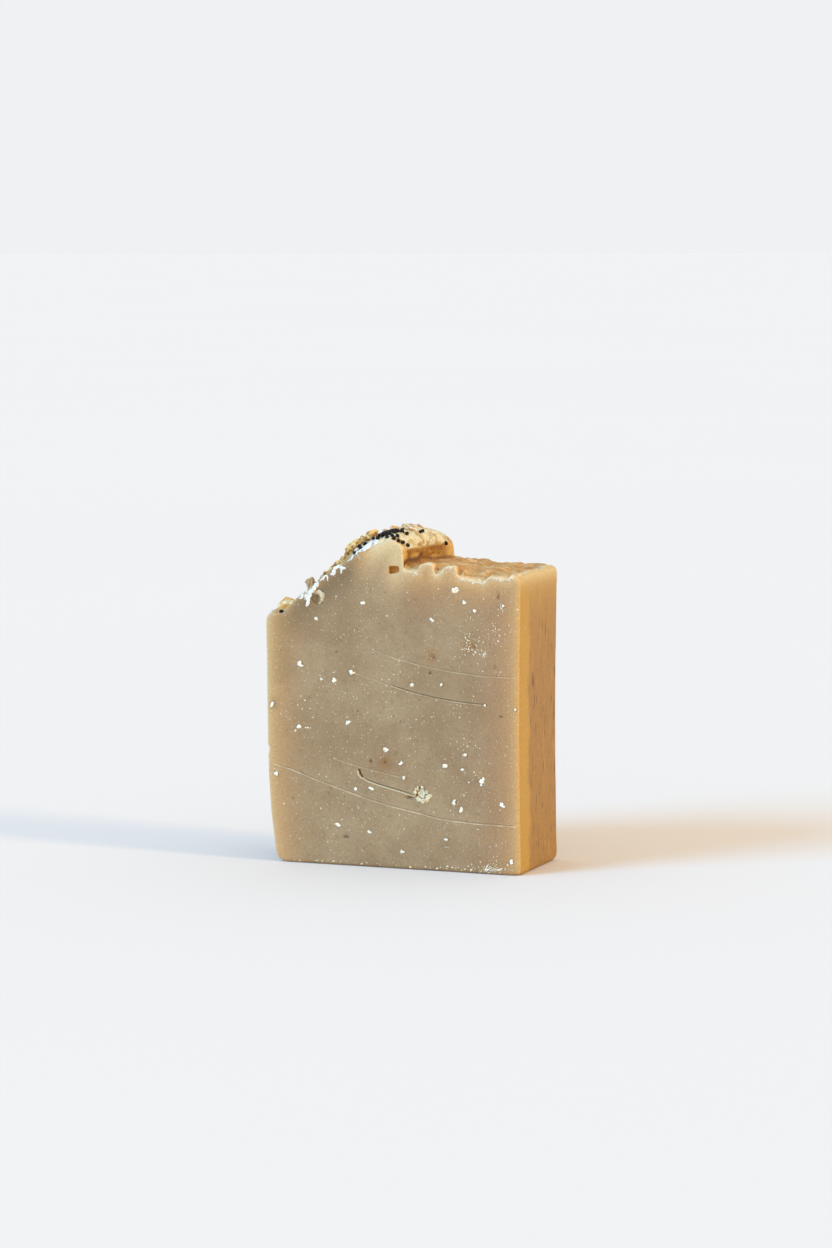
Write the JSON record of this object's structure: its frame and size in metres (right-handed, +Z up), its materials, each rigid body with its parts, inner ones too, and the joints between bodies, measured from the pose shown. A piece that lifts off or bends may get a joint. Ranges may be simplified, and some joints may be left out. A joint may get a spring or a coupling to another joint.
{
  "type": "bar of handmade soap",
  "caption": "Slice of handmade loaf soap standing on its base: flat cut faces, a sloping flank, a steep crest and a rough plateau, with oats and seeds pressed in.",
  "frame": {"origin": "middle of the base that the slice stands on", "axes": "+X across the loaf towards the taller wall, +Y from the front cut face to the back one, +Z up"},
  "size_m": [0.0604, 0.025, 0.0754],
  "materials": {
    "soap": "waxy, satin",
    "poppy_seed": "satin",
    "oat_flake": "matte",
    "toasted_oat": "matte",
    "oat_crumb": "matte"
  },
  "bodies": {
    "root": {"soap_bar": "soap", "poppy_seeds": "poppy_seed", "oat_flakes": "oat_flake", "oat_lumps": "toasted_oat", "oat_crumbs": "oat_crumb"}
  },
  "joints": []
}
